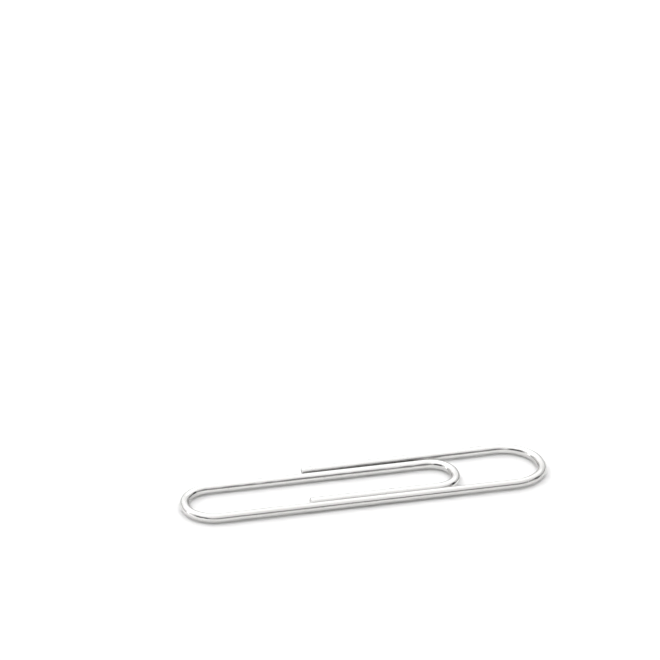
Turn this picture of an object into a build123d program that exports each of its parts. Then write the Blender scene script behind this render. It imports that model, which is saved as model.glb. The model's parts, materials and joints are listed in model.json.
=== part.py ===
from build123d import *
from math import cos, radians, tan
import os

# A double-loop paper clip: one round steel wire, bent three times in one plane and always the same way,
# so that a short inner loop, the tongue, lies inside a long outer loop.
# The clip lies flat. +X runs along it to the outer bend, +Y across it to the free outer leg, +Z up.
# The origin is under the middle of the outline, level with the lowest line of the wire. Sizes are in mm.
#
# The wire is held as four legs. Each bend is halved at its crown, its outermost point, where the wire
# runs straight across the clip along Y. There a leg springs out of the clip's plane by twisting the wire
# about its own centre line.

# The wire
wire_diameter = 1.22
crown_straight = 0.4        # straight stretch at the crown of each bend, where the wire twists

# The sheared ends: the blade slices a square land, and the rest of the wire tears off at a slope.
# One cut parts two clips, so the ends of a clip are the two sides of a cut: the land is at the top of one
# and at the bottom of the other.
tip_land = 0.66             # height of the square land
tip_tear = 14               # degrees by which the torn part slopes back from the land
tip_rounding = 0.05         # round left on the rim

# The outline
clip_length = 47.6          # over the end bend and the outer bend
clip_width = 11.0           # over the outer loop, across its bend
window_length = 10.2        # clear space between the inner bend and the outer bend
outer_tip_setback = 16.85   # from the outside of the end bend to the cut end of the outer leg
inner_tip_setback = 15.98   # from the outside of the end bend to the cut end of the inner leg
outer_leg_toe_in = 0.6      # degrees by which the outer leg leans in towards the tongue

# Clearances between legs that lie side by side
outer_leg_gap = 0.45        # from the cut end of the outer leg to the tongue leg
inner_leg_gap = 0.10        # from the inner leg to the long leg

wire_radius = wire_diameter / 2
toe_in = radians(outer_leg_toe_in)


def bend(crown, radius, heading, turn_out=90):
    """A bend's middle line in two halves, in to its crown and out. The wire passes the crown at heading."""
    ahead = Vector(1, 0).rotate(Axis.Z, heading)
    inward = ahead.rotate(Axis.Z, 90) * radius
    run = ahead * (crown_straight / 2)
    arc_in = CenterArc(crown - run + inward, radius, heading + 180, 90)
    arc_out = CenterArc(crown + run + inward, radius, heading - 90, turn_out)
    return [arc_in, Line(crown - run, crown)], [Line(crown, crown + run), arc_out]


# The outline is laid out at ground level, measured to the middle of the wire unless a name says outside
end_outside_x = -clip_length / 2
outer_outside_x = clip_length / 2
inner_outside_x = outer_outside_x - wire_diameter - window_length

# The outer bend sets the long leg on one side and the free outer leg on the other
outer_radius = (clip_width - wire_diameter - crown_straight) / 2
outer_crown = Vector(outer_outside_x - wire_radius, 0)
outer_in, outer_out = bend(outer_crown, outer_radius, 90, 90 + outer_leg_toe_in)
long_leg_y = (outer_in[0] @ 0).Y
outer_leg_start = outer_out[-1] @ 1
outer_tip_x = end_outside_x + outer_tip_setback
outer_tip_y = outer_leg_start.Y - (outer_leg_start.X - outer_tip_x) * tan(toe_in)
outer_tip = Vector(outer_tip_x, outer_tip_y)

# The end bend carries the wire from the tongue, just inside the outer leg, round into the long leg
tongue_leg_y = outer_tip_y - wire_radius * cos(toe_in) - outer_leg_gap - wire_radius
end_radius = (tongue_leg_y - long_leg_y - crown_straight) / 2
end_crown = Vector(end_outside_x + wire_radius, (tongue_leg_y + long_leg_y) / 2)
end_in, end_out = bend(end_crown, end_radius, 270)

# The inner bend closes the tongue, with the inner leg just inside the long leg
inner_leg_y = long_leg_y + wire_diameter + inner_leg_gap
inner_radius = (tongue_leg_y - inner_leg_y - crown_straight) / 2
inner_crown = Vector(inner_outside_x - wire_radius, (tongue_leg_y + inner_leg_y) / 2)
inner_in, inner_out = bend(inner_crown, inner_radius, 90)
inner_tip = Vector(end_outside_x + inner_tip_setback, inner_leg_y)

# Each leg's path runs the way that the wire does, from the inner cut end to the outer one
inner_leg_path = Wire([Line(inner_tip, inner_in[0] @ 0), *inner_in])
tongue_leg_path = Wire([*inner_out, Line(inner_out[-1] @ 1, end_in[0] @ 0), *end_in])
long_leg_path = Wire([*end_out, Line(end_out[-1] @ 1, outer_in[0] @ 0), *outer_in])
outer_leg_path = Wire([*outer_out, Line(outer_leg_start, outer_tip)])


def wire_along(path):
    """A round wire along a flat path, lying on the ground."""
    section = Plane(origin=path @ 0, z_dir=path % 0) * Circle(wire_radius)
    return Pos(0, 0, wire_radius) * sweep(section, path=path)


land_at_top, land_at_bottom = 1, -1


def shear_tip(wire, tip, outwards, land_side):
    """The wire with a sheared end at its tip, which faces outwards."""
    land_foot = tip + Vector(0, 0, wire_radius + land_side * (wire_radius - tip_land))
    across = outwards.cross(Vector(0, 0, 1))
    tear_direction = outwards.rotate(Axis(tip, across), -land_side * tip_tear)
    tear = Plane(origin=land_foot, x_dir=across, z_dir=tear_direction)
    sheared = split(wire, bisect_by=tear, keep=Keep.BOTTOM)
    end_faces = sheared.faces().filter_by(GeomType.PLANE).sort_by_distance(land_foot)[0:2]
    rim = [edge for edge in end_faces.edges() if edge.geom_type != GeomType.LINE]
    return fillet(rim, tip_rounding)


legs = {
    "long_leg": wire_along(long_leg_path),
    "outer_leg": shear_tip(wire_along(outer_leg_path), outer_tip, outer_leg_path % 1, land_at_top),
    "tongue_leg": wire_along(tongue_leg_path),
    "inner_leg": shear_tip(wire_along(inner_leg_path), inner_tip, -(inner_leg_path % 0), land_at_bottom),
}

os.makedirs("parts", exist_ok=True)
for name, leg in legs.items():
    leg.label = name
    export_step(leg, f"parts/{name}.step")

paths = [inner_leg_path, tongue_leg_path, long_leg_path, outer_leg_path]
print("wire length", round(sum(path.length for path in paths), 2))
for name, crown in {"outer": outer_crown, "end": end_crown, "inner": inner_crown}.items():
    print(name, "bend twists about Y at", round(crown.X, 4), round(crown.Y, 4), round(wire_radius, 4))
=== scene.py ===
# %% [markdown]
# A paper clip is one piece of bright plated steel wire, bent three times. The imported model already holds
# that wire at its real size, cut into four legs where it springs. This lesson gives the wire its looks:
# the round of each leg and bend, the sheared ends, the plating and its wear, and a white table under soft
# light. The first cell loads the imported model. Every piece made later is placed by reading it.

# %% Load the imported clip
import json
from math import cos, degrees, pi, radians, sin, tan

import bmesh
import bpy
from mathutils import Matrix, Vector, noise


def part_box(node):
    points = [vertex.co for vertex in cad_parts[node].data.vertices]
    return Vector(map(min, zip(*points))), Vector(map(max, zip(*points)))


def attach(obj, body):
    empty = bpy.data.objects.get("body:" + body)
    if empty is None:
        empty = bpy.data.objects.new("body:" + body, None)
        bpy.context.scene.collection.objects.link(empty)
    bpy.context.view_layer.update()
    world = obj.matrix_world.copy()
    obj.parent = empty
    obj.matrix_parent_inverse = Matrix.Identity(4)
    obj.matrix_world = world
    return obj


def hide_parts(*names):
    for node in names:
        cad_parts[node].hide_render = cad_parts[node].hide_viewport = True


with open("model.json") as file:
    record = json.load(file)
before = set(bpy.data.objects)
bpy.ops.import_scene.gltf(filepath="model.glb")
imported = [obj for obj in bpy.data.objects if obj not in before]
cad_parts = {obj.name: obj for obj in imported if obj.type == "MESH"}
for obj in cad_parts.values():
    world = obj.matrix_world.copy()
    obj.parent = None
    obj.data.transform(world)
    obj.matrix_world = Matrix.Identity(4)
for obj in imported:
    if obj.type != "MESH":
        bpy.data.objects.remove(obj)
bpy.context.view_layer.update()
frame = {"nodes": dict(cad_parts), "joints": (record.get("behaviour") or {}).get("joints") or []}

MM = 0.001
UP = Vector((0, 0, 1))
print("packed legs:", ", ".join(sorted(frame["nodes"])))

# %% [markdown]
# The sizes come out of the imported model, so nothing is fitted by eye. Each joint lies on the crown of a
# bend, which is the bend's outermost point, in the middle of the wire. A leg's box gives the line that
# the leg runs along, once half the wire is taken off. With a crown and a leg's line, the radius of every
# bend follows, less the short straight stretch at the crown where the wire twists when a leg springs.
# That stretch and the slight lean of the outer leg show in no box or joint, so both are given here.

# %% Read the wire's thickness, legs and bends
CROWN_STRAIGHT = 0.4 * MM
HALF_CROWN = CROWN_STRAIGHT / 2
OUTER_LEG_TOE_IN = radians(0.6)

crown = {joint["name"].split("_")[0]: Vector(joint["pos_m"]) for joint in frame["joints"]}
long_low, long_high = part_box("long_leg")
_, tongue_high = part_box("tongue_leg")
outer_low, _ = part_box("outer_leg")
inner_low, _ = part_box("inner_leg")

wire_radius = (long_high.z - long_low.z) / 2
long_y = long_low.y + wire_radius
tongue_y = tongue_high.y - wire_radius
bend_radius = {
    "outer": crown["outer"].y - long_y - HALF_CROWN,
    "end": crown["end"].y - long_y - HALF_CROWN,
    "inner": tongue_y - crown["inner"].y - HALF_CROWN,
}
print("wire diameter in mm:", round(2 * wire_radius / MM, 3))
for name, radius in bend_radius.items():
    print(name, "bend radius in mm:", round(radius / MM, 3))

# %% [markdown]
# A formed wire isn't quite round. The pin that a bend was wound on leaves a flat inside the bend, which
# sets in over the first quarter of the way from a leg to the crown. The roller that fed the wire leaves
# another all along it, on the inner side a little above the middle. Both are too faint to feel, but
# reflections show them. They could be bump in the finish, but then the wire's outline would stay round,
# so they are pressed into the mesh, and the mesh is made fine enough to hold them.

# %% How fine the mesh is, and the flats that forming leaves
RING_SIDES = 72
RUN_STEP = 0.8 * MM
TURN_STEP = radians(1.5)
PIN_FLAT = 0.03 * MM
PIN_ONSET = 0.25
ROLLER_FLAT = 0.009 * MM
ROLLER_RISE = radians(29)
ROLLER_SIDE = Vector((-cos(ROLLER_RISE), sin(ROLLER_RISE)))


def smooth_step(share):
    """Goes from 0 to 1 as share does, with a soft start and end, and stays there beyond them."""
    share = min(1.0, max(0.0, share))
    return share * share * (3 - 2 * share)


print("ring sides:", RING_SIDES, "flats in mm, pin and roller:", PIN_FLAT / MM, ROLLER_FLAT / MM)

# %% [markdown]
# A wire is drawn through a die and then bent, and the mesh is made the same way. A curve with a round
# bevel would be quicker, but it can't carry the marks that forming leaves. So the wire starts as one ring
# of vertices. A straight run extrudes the ring and slides it along, and a turn spins it about the bend's
# centre. Each vertex also remembers where it lay on the straight wire, in a vertex attribute called
# "unbent": how far along, how far towards the outside of the bends, and how high. Patterns that follow
# the wire, such as the fine lines that the die leaves, read that attribute, so they run round the bends
# and over the cuts between legs without a break. A second attribute, "strain", says how far the wire was
# stretched, or squeezed where it is below zero. A third, "torn", is filled in later, at the cut ends.

# %% A wire that can be run straight and turned
class WireMesh:
    """A round wire that grows from its first ring and only ever turns left."""

    def __init__(self, start, heading, along, bent):
        self.bm = bmesh.new()
        self.unbent = self.bm.verts.layers.float_vector.new("unbent")
        self.strain = self.bm.verts.layers.float.new("strain")
        self.torn = self.bm.verts.layers.float.new("torn")
        self.centre = start.copy()
        self.heading = heading.normalized()
        self.along = along
        outside = self.heading.cross(UP)
        placed = Matrix((outside, UP, -self.heading)).transposed().to_4x4()
        placed.translation = start
        ring = bmesh.ops.create_circle(self.bm, segments=RING_SIDES, radius=wire_radius, matrix=placed)
        for vert in ring["verts"]:
            offset = vert.co - start
            vert[self.unbent] = (along, offset.dot(outside), offset.dot(UP))
        self.first = list(self.bm.edges)
        self.last = self.first
        self.settle(bent)

    def extrude(self, edges):
        """Copies a ring, with faces to the copy, and returns the copy's edges."""
        grown = bmesh.ops.extrude_edge_only(self.bm, edges=edges)["geom"]
        return [item for item in grown if isinstance(item, bmesh.types.BMEdge)]

    def settle(self, bent):
        """Puts the newest ring round the centre line, with the roller's flat and, in a bend, the pin's."""
        outside = self.heading.cross(UP)
        flat_at = PIN_FLAT * bent - wire_radius
        for vert in {vert for edge in self.last for vert in edge.verts}:
            _, outward, height = vert[self.unbent]
            pressed = Vector((max(outward, flat_at), height))
            proud = pressed.dot(ROLLER_SIDE) - wire_radius + ROLLER_FLAT
            pressed -= ROLLER_SIDE * max(0.0, proud)
            vert.co = self.centre + outside * pressed.x + UP * pressed.y
            vert[self.unbent] = (self.along, outward, height)
            vert[self.strain] = bent * outward / wire_radius

    def run(self, length, bent=0.0):
        """Goes straight on."""
        steps = max(1, round(length / RUN_STEP))
        for _ in range(steps):
            self.last = self.extrude(self.last)
            self.centre += self.heading * (length / steps)
            self.along += length / steps
            self.settle(bent)
        return self

    def turn(self, radius, angle, from_crown):
        """Goes round half of a bend, up to its crown or on from it."""
        hub = self.centre + UP.cross(self.heading) * radius
        steps = round(angle / TURN_STEP)
        around = Matrix.Rotation(angle / steps, 3, "Z")
        for step in range(1, steps + 1):
            spun = bmesh.ops.spin(
                self.bm, geom=self.last, cent=hub, axis=UP, angle=angle / steps, steps=1, use_merge=False)
            self.last = [item for item in spun["geom_last"] if isinstance(item, bmesh.types.BMEdge)]
            self.heading = around @ self.heading
            self.centre = hub + around @ (self.centre - hub)
            self.along += radius * angle / steps
            share = step / steps
            from_leg = 1 - share if from_crown else share
            self.settle(smooth_step(from_leg / PIN_ONSET))
        return self


print("a ring stands every", RUN_STEP / MM, "mm of a leg and every", degrees(TURN_STEP), "degrees of a bend")

# %% [markdown]
# The wire is followed from the cut end of the inner leg to the cut end of the outer leg, leg by leg. One
# mesh for the whole clip would be simpler, but the legs move, so each leg gets a mesh that ends at a
# crown. A leg starts where the last one stopped, and takes over the count of how much wire has gone by.

# %% Grow the four legs
QUARTER = pi / 2

inner_tip = Vector((inner_low.x, inner_low.y + wire_radius, wire_radius))
inner_heading = Vector((1, 0, 0))
inner_wire = WireMesh(inner_tip, inner_heading, 0.0, 0.0)
inner_wire.run(crown["inner"].x - bend_radius["inner"] - inner_tip.x)
inner_wire.turn(bend_radius["inner"], QUARTER, from_crown=False).run(HALF_CROWN, bent=1.0)

tongue_wire = WireMesh(crown["inner"], Vector((0, 1, 0)), inner_wire.along, 1.0)
tongue_wire.run(HALF_CROWN, bent=1.0).turn(bend_radius["inner"], QUARTER, from_crown=True)
tongue_wire.run(tongue_wire.centre.x - crown["end"].x - bend_radius["end"])
tongue_wire.turn(bend_radius["end"], QUARTER, from_crown=False).run(HALF_CROWN, bent=1.0)

long_wire = WireMesh(crown["end"], Vector((0, -1, 0)), tongue_wire.along, 1.0)
long_wire.run(HALF_CROWN, bent=1.0).turn(bend_radius["end"], QUARTER, from_crown=True)
long_wire.run(crown["outer"].x - bend_radius["outer"] - long_wire.centre.x)
long_wire.turn(bend_radius["outer"], QUARTER, from_crown=False).run(HALF_CROWN, bent=1.0)

outer_wire = WireMesh(crown["outer"], Vector((0, 1, 0)), long_wire.along, 1.0)
outer_wire.run(HALF_CROWN, bent=1.0).turn(bend_radius["outer"], QUARTER + OUTER_LEG_TOE_IN, from_crown=True)
outer_wire.run((outer_wire.centre.x - outer_low.x) / cos(OUTER_LEG_TOE_IN))

wires = {
    "inner_leg": inner_wire,
    "tongue_leg": tongue_wire,
    "long_leg": long_wire,
    "outer_leg": outer_wire,
}
print("wire used, in mm:", round(outer_wire.along / MM, 2))

# %% [markdown]
# The two free ends were cut by a shear. Its blade first slices, which leaves a smooth square land, and
# then the rest of the wire tears off and slopes back, rough and dull. The rim is dragged a little round.
# A flat disc would close the end, but the tear is what catches the eye, so the cap is grown ring by ring.
# Every ring is pushed back beyond the land by the tear's slope, with some noise so that the tear looks
# broken. The noise dies out towards the rim, so that the wire stays round there. The attribute "torn"
# keeps where it tore, for the finish to read.

# %% How a ring of a cut end lies
TIP_LAND = 0.66 * MM
TIP_TEAR = radians(14)
TEAR_EDGE_WANDER = 0.05 * MM
TEAR_EDGE_WAVES_PER_MM = 6
TEAR_RELIEF = 0.012 * MM
TEAR_LUMPS_PER_MM = 14
RELIEF_FADE_POWER = 6


def place_cap_ring(wire, edges, end, land_side, share, advance):
    """Puts a cap's ring at a share of the wire's radius, and tears it back where it is beyond the land."""
    centre, outside, outwards = end
    for vert in {vert for edge in edges for vert in edge.verts}:
        along, outward, height = vert[wire.unbent]
        scale = share * wire_radius / Vector((outward, height)).length
        outward, height = outward * scale, height * scale
        spot = Vector((outward, height, along)) / MM
        wander = TEAR_EDGE_WANDER * noise.noise(spot * TEAR_EDGE_WAVES_PER_MM)
        beyond = wire_radius - TIP_LAND + wander - height * land_side
        vert[wire.torn] = smooth_step(beyond / TEAR_EDGE_WANDER)
        lumps = TEAR_RELIEF * noise.noise(spot * TEAR_LUMPS_PER_MM)
        relief = lumps * vert[wire.torn] * (1 - share ** RELIEF_FADE_POWER)
        back = max(0.0, beyond) * tan(TIP_TEAR) + relief
        vert.co = centre + outside * outward + UP * height + outwards * (advance - back)
        vert[wire.unbent] = (along, outward, height)


print("land in mm:", round(TIP_LAND / MM, 3), "tear in degrees:", round(degrees(TIP_TEAR), 1))

# %% [markdown]
# One cut parts two clips, so the ends of a clip are the two sides of a cut: the land is at the top of the
# outer leg's end, and at the bottom of the inner leg's end. A few rings go round the rim, smaller and
# smaller ones fill the face, and the middle is closed by a fan. The face is bare metal, so it gets a
# material slot of its own.

# %% Shear the free ends
TIP_ROUNDING = 0.05 * MM
RIM_RINGS = 5
FACE_RINGS = 9
LAND_AT_TOP, LAND_AT_BOTTOM = 1, -1
CUT_SLOT = 1


def shear_end(wire, edges, end, land_side):
    """Closes a free end: the rounded rim first, then the face."""
    place_cap_ring(wire, edges, end, land_side, 1.0, -TIP_ROUNDING)
    rounding_share = TIP_ROUNDING / wire_radius
    for ring in range(1, RIM_RINGS + 1):
        edges = wire.extrude(edges)
        round_by = QUARTER * ring / RIM_RINGS
        share = 1 - rounding_share * (1 - cos(round_by))
        place_cap_ring(wire, edges, end, land_side, share, TIP_ROUNDING * (sin(round_by) - 1))
    plated_faces = set(wire.bm.faces)
    for ring in range(FACE_RINGS - 1, 0, -1):
        edges = wire.extrude(edges)
        place_cap_ring(wire, edges, end, land_side, (1 - rounding_share) * ring / FACE_RINGS, 0.0)
    middle = bmesh.ops.edgeloop_fill(wire.bm, edges=edges)["faces"]
    bmesh.ops.poke(wire.bm, faces=middle)
    for face in set(wire.bm.faces) - plated_faces:
        face.material_index = CUT_SLOT


inner_end = inner_tip, inner_heading.cross(UP), -inner_heading
outer_end = outer_wire.centre, outer_wire.heading.cross(UP), outer_wire.heading
shear_end(inner_wire, inner_wire.first, inner_end, LAND_AT_BOTTOM)
shear_end(outer_wire, outer_wire.last, outer_end, LAND_AT_TOP)
for name in ("inner_leg", "outer_leg"):
    cut_faces = [face for face in wires[name].bm.faces if face.material_index == CUT_SLOT]
    area = sum(face.calc_area() for face in cut_faces) / MM ** 2
    print(name, "cut face in square mm:", round(area, 3))

# %% [markdown]
# At the crowns, where one leg hands over to the next, each mesh is closed by a plain disc. The two discs
# face each other and turn when a leg springs. Each stands back by a thousandth of a millimetre, so that
# they never rub, and the gap is far too narrow to see. Smooth shading rounds the wire between the sides
# of its rings, and only the edges of the cuts and discs stay crisp. Each mesh then takes the place of
# its packed leg and rides on that leg's body.

# %% Close the crowns and make the pieces
CROWN_CLEARANCE = 0.001 * MM
CRISP_ANGLE = radians(40)

pieces = {}
for name, wire in wires.items():
    bm = wire.bm
    discs = []
    for ring in (wire.first, wire.last):
        if all(edge.is_boundary for edge in ring):
            discs += bmesh.ops.edgeloop_fill(bm, edges=ring)["faces"]
    bmesh.ops.recalc_face_normals(bm, faces=bm.faces)
    for disc in discs:
        disc.normal_update()
        bmesh.ops.translate(bm, verts=disc.verts, vec=disc.normal * -CROWN_CLEARANCE)
    for face in bm.faces:
        face.smooth = True
    mesh = bpy.data.meshes.new(name + "_wire")
    bm.to_mesh(mesh)
    bm.free()
    mesh.set_sharp_from_angle(angle=CRISP_ANGLE)
    piece = bpy.data.objects.new(name + "_wire", mesh)
    bpy.context.scene.collection.objects.link(piece)
    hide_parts(name)
    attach(piece, name)
    pieces[name] = piece
    print(piece.name, "faces:", len(mesh.polygons))

# %% [markdown]
# A finish is a small calculation done at every point of the surface, and in Blender each step of it is a
# node. Linking nodes by hand hides the sum that they make, so a small class wraps a socket. Plain
# arithmetic on a wrapped socket adds Math nodes, and one method adds any other kind of node: it takes the
# node's type, its settings, and what goes into its inputs.

# %% Shader sums written as Python
class Value:
    """An output socket that can be used in sums."""

    def __init__(self, socket):
        self.socket = socket
        self.tree = socket.id_data

    @classmethod
    def node(cls, tree, kind, settings=None, inputs=None, output=0):
        """Adds a node, sets it up, fills its inputs with numbers or links, and returns one of its outputs."""
        made = tree.nodes.new("ShaderNode" + kind)
        for name, setting in (settings or {}).items():
            setattr(made, name, setting)
        for name, given in (inputs or {}).items():
            if isinstance(given, Value):
                given.feed(made, name)
            else:
                made.inputs[name].default_value = given
        return cls(made.outputs[output])

    def feed(self, node, name):
        """Links this value to an input of a node."""
        self.tree.links.new(self.socket, node.inputs[name])

    def math(self, operation, *numbers):
        """Adds a Math node that takes numbers or values."""
        return Value.node(self.tree, "Math", {"operation": operation}, dict(enumerate(numbers)))

    def __add__(self, other):
        return self.math("ADD", self, other)

    def __radd__(self, other):
        return self.math("ADD", other, self)

    def __sub__(self, other):
        return self.math("SUBTRACT", self, other)

    def __rsub__(self, other):
        return self.math("SUBTRACT", other, self)

    def __mul__(self, other):
        return self.math("MULTIPLY", self, other)

    def __rmul__(self, other):
        return self.math("MULTIPLY", other, self)


print("a sum of values adds Math nodes for plus, minus and times")

# %% [markdown]
# A few sums come back in every finish, so each gets a name. A mask is a number that goes softly from 0 to
# 1 over a place. Grain is noise that is stretched until its grains have the size of a real mark, given as
# how many lie side by side in a millimetre. Attributes are what the vertices remember.

# %% Masks, mixed colours, grain and attributes
FINE_GRAIN_SHARE = 0.55


def rise(value, low, high):
    """0 up to low, 1 from high on, and smooth between them. With low above high it falls instead."""
    return Value.node(
        value.tree, "MapRange", {"interpolation_type": "SMOOTHSTEP"},
        {"Value": value, "From Min": low, "From Max": high})


def mixed_colour(share, first, second):
    """The first colour where share is 0, and the second where it is 1."""
    # The Mix node has sockets of the same name for each kind of data, so they are given by number
    factor, colour_a, colour_b, colour_out = 0, 6, 7, 2
    inputs = {factor: share, colour_a: first, colour_b: second}
    return Value.node(share.tree, "Mix", {"data_type": "RGBA"}, inputs, colour_out)


def grain(place, per_mm, detail=2.0):
    """Noise whose grains lie so many to the millimetre along, outwards and up."""
    stretched = Value.node(
        place.tree, "VectorMath", {"operation": "MULTIPLY"}, {0: place, 1: [count / MM for count in per_mm]})
    return Value.node(
        place.tree, "TexNoise", {"noise_dimensions": "3D"},
        {"Vector": stretched, "Scale": 1.0, "Detail": detail, "Roughness": FINE_GRAIN_SHARE})


def attribute(tree, name, output):
    """What the vertices remember under a name: a Vector, or a number as Fac."""
    return Value.node(tree, "Attribute", {"attribute_name": name}, output=output)


def component(vector, letter):
    """The X, Y or Z of a vector."""
    return Value.node(vector.tree, "SeparateXYZ", inputs={0: vector}, output=letter)


def new_finish(name):
    """A material with its node tree and its one Principled shader."""
    finish = bpy.data.materials.new(name)
    finish.use_nodes = True
    return finish, finish.node_tree, finish.node_tree.nodes["Principled BSDF"]


print("each finer layer of grain counts", FINE_GRAIN_SHARE, "times the one before")

# %% [markdown]
# The plating is a few thousandths of a millimetre of bright metal over the drawn wire, so it shows the
# wire's own marks. The die leaves fine lines along the wire. The drawn surface rolls a little, so
# straight reflections wander. Handling adds short slanting scuffs and a faint uneven haze. Each of these
# marks is one noise with its own stretch, read from "unbent" so that it follows the wire.

# %% Marks all over the plating
SCUFF_SLANT = (radians(20), radians(38), radians(31))

plating, tree, shader = new_finish("bright_plating")
unbent = attribute(tree, "unbent", "Vector")
die_lines = grain(unbent, (0.05, 8.0, 8.0), 3.0)
roll = grain(unbent, (0.45, 1.1, 1.1), 1.0)
slanted = Value.node(
    tree, "VectorRotate", {"rotation_type": "EULER_XYZ"}, {"Vector": unbent, "Rotation": SCUFF_SLANT})
scuffs = rise(grain(slanted, (0.7, 9.0, 2.0)), 0.66, 0.76)
haze = grain(unbent, (0.16, 0.5, 0.5), 3.0)
print("marks all over: die lines, roll, scuffs and haze, nodes so far:", len(tree.nodes))

# %% [markdown]
# Other marks belong to one place. Where a bend stretched the plating it has crazed into hair lines across
# the wire, and inside the bend the forming pin has rubbed it dull. Both read "strain". Inside the bend the
# colour is also darkened, partly by that wear and partly as painted shade. The long leg is made a little
# duller and darker all along. On the outer leg's inner side, beside the tongue, a thin line is painted dark:
# painted shade for the gap between the two legs. These could be painted on a UV map by hand, but sums on
# the place along the wire are exact and need no map.

# %% Marks at their own places
LONG_LEG_FADE = 5.0 * MM
PAINTED_SHADE_LENGTH = 15.5 * MM
PAINTED_SHADE_FADE = 1.5 * MM

strain = attribute(tree, "strain", "Fac")
crazing = rise(grain(unbent, (11.0, 0.8, 0.8)), 0.56, 0.70) * rise(strain, 0.35, 0.95)
# Inside the bends: the pin's rub roughens the metal, and its colour there is partly that wear and partly
# painted shade.
pin_rub_and_shade = rise(strain, -0.80, -0.97)

along = component(unbent, "X")
outward = component(unbent, "Y")
height = component(unbent, "Z")
long_start, long_end, wire_end = tongue_wire.along, long_wire.along, outer_wire.along
# The long leg is made a little rougher and darker all along, fading in and out near its bends.
past_end_bend = rise(along, long_start - LONG_LEG_FADE, long_start + LONG_LEG_FADE)
before_outer_bend = rise(along, long_end + LONG_LEG_FADE, long_end - LONG_LEG_FADE)
long_leg_dulled = past_end_bend * before_outer_bend

# A thin line low on the outer leg's inner side, beside the tongue, is painted dark: painted shade for the gap
# between the two legs.
painted_shade_start = wire_end - PAINTED_SHADE_LENGTH
beside_tongue = rise(along, painted_shade_start - PAINTED_SHADE_FADE, painted_shade_start + PAINTED_SHADE_FADE)
inner_side = rise(outward, -0.80 * wire_radius, -0.92 * wire_radius)
line_foot = rise(height, 0.02 * wire_radius, 0.14 * wire_radius)
line_top = rise(height, 0.42 * wire_radius, 0.26 * wire_radius)
painted_shade_mask = beside_tongue * inner_side * line_foot * line_top
print("handled from", round(long_start / MM, 1), "to", round(long_end / MM, 1), "mm along the wire")
print("tarnished from", round(painted_shade_start / MM, 1), "to", round(wire_end / MM, 1), "mm along the wire")

# %% [markdown]
# The marks now meet in the finish. Wear, haze and the long leg's dulling roughen the metal a little and
# take some of its brightness, and the painted shade beside the tongue darkens a thin line. The die lines,
# the roll, the scuffs and the crazing add up to one height for the Bump node.

# %% Bright plating
CLEAN_METAL = (0.725, 0.719, 0.709, 1)
HAZED_METAL = (0.640, 0.633, 0.622, 1)
WORN_METAL = (0.470, 0.462, 0.450, 1)
PAINTED_SHADE_METAL = (0.050, 0.049, 0.048, 1)
CLEAN_ROUGHNESS = 0.06
BUMP_DEPTH = 0.04 * MM

wear = 0.16 * scuffs + 0.12 * crazing + 0.06 * pin_rub_and_shade
dulling = 0.05 * die_lines + 0.06 * rise(haze, 0.45, 0.75) + 0.09 * long_leg_dulled
roughness = CLEAN_ROUGHNESS + dulling + wear
roughness.feed(shader, "Roughness")

# The haze varies the colour at random, and on the long leg the colour is simply made darker.
hazed = mixed_colour(0.25 * rise(haze, 0.40, 0.80) + 0.75 * long_leg_dulled, CLEAN_METAL, HAZED_METAL)
# Inside the bends the colour is darkened partly by the pin's rub and partly as painted shade.
worn = mixed_colour(0.5 * scuffs + 0.4 * crazing + 0.15 * pin_rub_and_shade, hazed, WORN_METAL)
# The painted shade beside the tongue darkens the colour along that line.
painted_shade = mixed_colour(painted_shade_mask, worn, PAINTED_SHADE_METAL)
painted_shade.feed(shader, "Base Color")

relief = 0.03 * die_lines + 0.6 * roll - 0.04 * scuffs - 0.03 * crazing
bumped = Value.node(tree, "Bump", inputs={"Strength": 1.0, "Distance": BUMP_DEPTH, "Height": relief})
bumped.feed(shader, "Normal")
shader.inputs["Metallic"].default_value = 1.0
print(plating.name, "nodes:", len(tree.nodes))

# %% [markdown]
# The cut ends are bare steel, because the wire is plated before it is cut. The land that the blade sliced
# is drawn smooth with upright lines, and the torn part is a dull grey grain. One material does both, and
# "torn" chooses between them, so that the change follows the tear's own edge. The lower part of the outer
# leg's end is painted near black as painted shade.

# %% Cut steel
SLICED_STEEL = (0.70, 0.69, 0.68, 1)
TORN_LIGHT = (0.82, 0.81, 0.80, 1)
TORN_DARK = (0.64, 0.63, 0.62, 1)
PAINTED_SHADE_STEEL = (0.13, 0.127, 0.122, 1)
SLICED_ROUGHNESS = 0.22
GRAIN_DEPTH = 0.01 * MM

cut_steel, tree, shader = new_finish("cut_steel")
unbent = attribute(tree, "unbent", "Vector")
torn = attribute(tree, "torn", "Fac")
blade_lines = grain(unbent, (1.0, 22.0, 1.5))
torn_grain = grain(unbent, (12.0, 16.0, 16.0), 4.0)

torn_colour = mixed_colour(rise(torn_grain, 0.35, 0.65), TORN_DARK, TORN_LIGHT)
clean_steel = mixed_colour(torn, SLICED_STEEL, torn_colour)
# The lower part of the outer leg's end is painted near black: painted shade.
lower_part = rise(component(unbent, "Z"), 0.45 * wire_radius, 0.15 * wire_radius)
at_outer_end = rise(component(unbent, "X"), 0.4 * wire_end, 0.6 * wire_end)
steel_colour = mixed_colour(lower_part * at_outer_end, clean_steel, PAINTED_SHADE_STEEL)
steel_colour.feed(shader, "Base Color")

steel_roughness = SLICED_ROUGHNESS + 0.12 * blade_lines + 0.26 * torn
steel_roughness.feed(shader, "Roughness")
steel_relief = 0.4 * blade_lines * (1 - torn) + torn_grain * torn
bumped = Value.node(tree, "Bump", inputs={"Strength": 0.6, "Distance": GRAIN_DEPTH, "Height": steel_relief})
bumped.feed(shader, "Normal")
shader.inputs["Metallic"].default_value = 1.0
for piece in pieces.values():
    piece.data.materials.append(plating)
    piece.data.materials.append(cut_steel)
print(cut_steel.name, "nodes:", len(tree.nodes))

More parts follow.
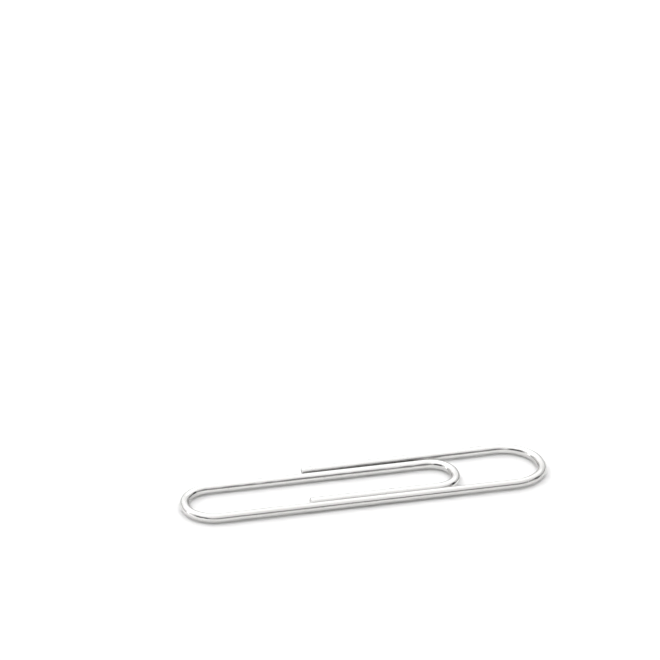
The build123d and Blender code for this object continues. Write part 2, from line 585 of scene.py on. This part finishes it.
# %% [markdown]
# The clip lies on a plain white table. A sheet far larger than the view keeps its edge out of sight, also
# when the camera moves. Its surface is matt card: faint fibres in its colour, and no shine of its own.
# Light sinks into white card and comes out again a little further on, so the shadow under the wire is
# never black and fades out softly. The shader's subsurface part does just that, and its reach is how far
# the light wanders.

# %% The table
TABLE_HALF = 3.0
CARD_GLOW_REACH = 2.0 * MM
CARD_DARK = (0.91, 0.91, 0.908, 1)
CARD_LIGHT = (0.94, 0.94, 0.938, 1)
CARD_ROUGHNESS = 0.8

table_mesh = bpy.data.meshes.new("table")
bm = bmesh.new()
bmesh.ops.create_grid(bm, x_segments=1, y_segments=1, size=TABLE_HALF)
bm.to_mesh(table_mesh)
bm.free()
table = bpy.data.objects.new("table", table_mesh)
bpy.context.scene.collection.objects.link(table)

card, tree, shader = new_finish("white_card")
fibres = grain(Value.node(tree, "TexCoord", output="Object"), (1.4, 3.0, 1.0), 4.0)
mixed_colour(fibres, CARD_DARK, CARD_LIGHT).feed(shader, "Base Color")
shader.inputs["Roughness"].default_value = CARD_ROUGHNESS
shader.inputs["Specular IOR Level"].default_value = 0.0
shader.subsurface_method = "BURLEY"
shader.inputs["Subsurface Weight"].default_value = 1.0
shader.inputs["Subsurface Radius"].default_value = (1.0, 1.0, 1.0)
shader.inputs["Subsurface Scale"].default_value = CARD_GLOW_REACH
table.data.materials.append(card)
print("table half width in m:", TABLE_HALF, "glow reach in mm:", CARD_GLOW_REACH / MM)

# %% [markdown]
# Bright wire has hardly any colour of its own: what is seen on it is the room. So the light is made as
# the room that the wire would mirror: a white tent round the table. Lamps outside the picture would light
# the table as well, but the wire would show them only as a few bright points. The directions in the tent
# are measured from the camera: how high, and how far round, where left of the camera is below zero.

# %% Directions in the light tent
VIEW_HEADING = radians(13.69)

towards_camera = Vector((-sin(VIEW_HEADING), -cos(VIEW_HEADING), 0))
towards_right = Vector((cos(VIEW_HEADING), -sin(VIEW_HEADING), 0))

tent = bpy.data.worlds.new("light_tent")
bpy.context.scene.world = tent
tent.use_nodes = True
tree = tent.node_tree
direction = Value.node(tree, "TexCoord", output="Generated")


def part_along(axis):
    """How far a direction points along an axis, from -1 to 1."""
    return Value.node(tree, "VectorMath", {"operation": "DOT_PRODUCT"}, {0: direction, 1: axis}, "Value")


upward = component(direction, "Z")
frontward = part_along(towards_camera)
rightward = part_along(towards_right)
height_angle = upward.math("ARCSINE", upward)
round_angle = rightward.math("ARCTAN2", rightward, frontward)


def between(angle, low, high, blur):
    """1 between two angles in degrees and 0 beyond them, with edges as soft as blur."""
    enters = rise(angle, radians(low - blur), radians(low + blur))
    leaves = rise(angle, radians(high + blur), radians(high - blur))
    return enters * leaves


print("the camera stands", round(degrees(VIEW_HEADING), 1), "degrees round from the clip's own front")

# %% [markdown]
# The tent is brighter on the left and behind than on the right and in front, so shadows fall to the front
# and right. Patches of it are darker, and each is an area of directions with the share of light that it
# takes away. A band goes all round a little above the table, deepest on the camera's side, where the tent
# is open, and faintest behind: the wire mirrors it as the dark line along each leg. Behind the clip the
# tent's foot is grey, which draws a fine line along the top of the wire. A gap and a dimmer panel on the
# left, and a dark stand on the right, show in the bends, with a small lamp on the left for their sparkle.

# %% The light tent
TENT_LEVEL = 1.52
LEAN_LEFT = 0.36
LEAN_BACK = 0.34
LAMP_LEVEL = 3.0

camera_side = between(round_angle, -75, 58, 6)
behind = rise(frontward, 0.2, -0.2)
band = between(height_angle, 10, 31, 2)
grey_foot = between(height_angle, -1, 12, 3) * behind
left_gap = between(height_angle, 8, 36, 3) * between(round_angle, -68, -18, 6)
left_panel = between(height_angle, 32, 55, 8) * between(round_angle, -95, -25, 15)
dark_stand = between(height_angle, -2, 32, 3) * between(round_angle, 86, 104, 2)
lamp = between(height_angle, 8, 18, 2) * between(round_angle, -98, -92, 2)

light = 1 - LEAN_LEFT * rightward - LEAN_BACK * frontward
light = light * (1 - band * (0.52 + 0.19 * camera_side - 0.14 * behind))
for patch, taken in ((grey_foot, 0.75), (left_gap, 0.80), (left_panel, 0.35), (dark_stand, 0.95)):
    light = light * (1 - taken * patch)

background = tree.nodes["Background"]
(light + LAMP_LEVEL * lamp).feed(background, "Color")
background.inputs["Strength"].default_value = TENT_LEVEL
bpy.context.scene.view_settings.view_transform = "Standard"
print(tent.name, "nodes:", len(tree.nodes))

# %% [markdown]
# The camera stands low in front of the clip and a little to the left, with a long lens. A long lens from
# far off keeps the two ends of the clip at nearly the same scale. The lens is given by its focal length
# in pixels of the square picture, and the camera by what it is aimed at, its height angle and its
# distance. It is aimed behind the clip, which puts the clip in the lower part of the picture.

# %% The camera
PICTURE_SIDE_PX = 660
FOCAL_PX = 3500
SENSOR_WIDTH = 36
NEAREST_SEEN = 10 * MM
VIEW_ELEVATION = radians(25.4)
VIEW_DISTANCE = 483.8 * MM
AIM = Vector((6.787, 45.90, 0)) * MM

backward = towards_camera * cos(VIEW_ELEVATION) + UP * sin(VIEW_ELEVATION)
camera_data = bpy.data.cameras.new("camera")
camera_data.sensor_width = SENSOR_WIDTH
camera_data.lens = SENSOR_WIDTH * FOCAL_PX / PICTURE_SIDE_PX
camera_data.clip_start = NEAREST_SEEN
camera = bpy.data.objects.new("camera", camera_data)
camera.location = AIM + backward * VIEW_DISTANCE
camera.rotation_euler = (-backward).to_track_quat("-Z", "Y").to_euler()
bpy.context.scene.collection.objects.link(camera)
bpy.context.scene.camera = camera
print("lens in mm:", round(camera_data.lens, 1))
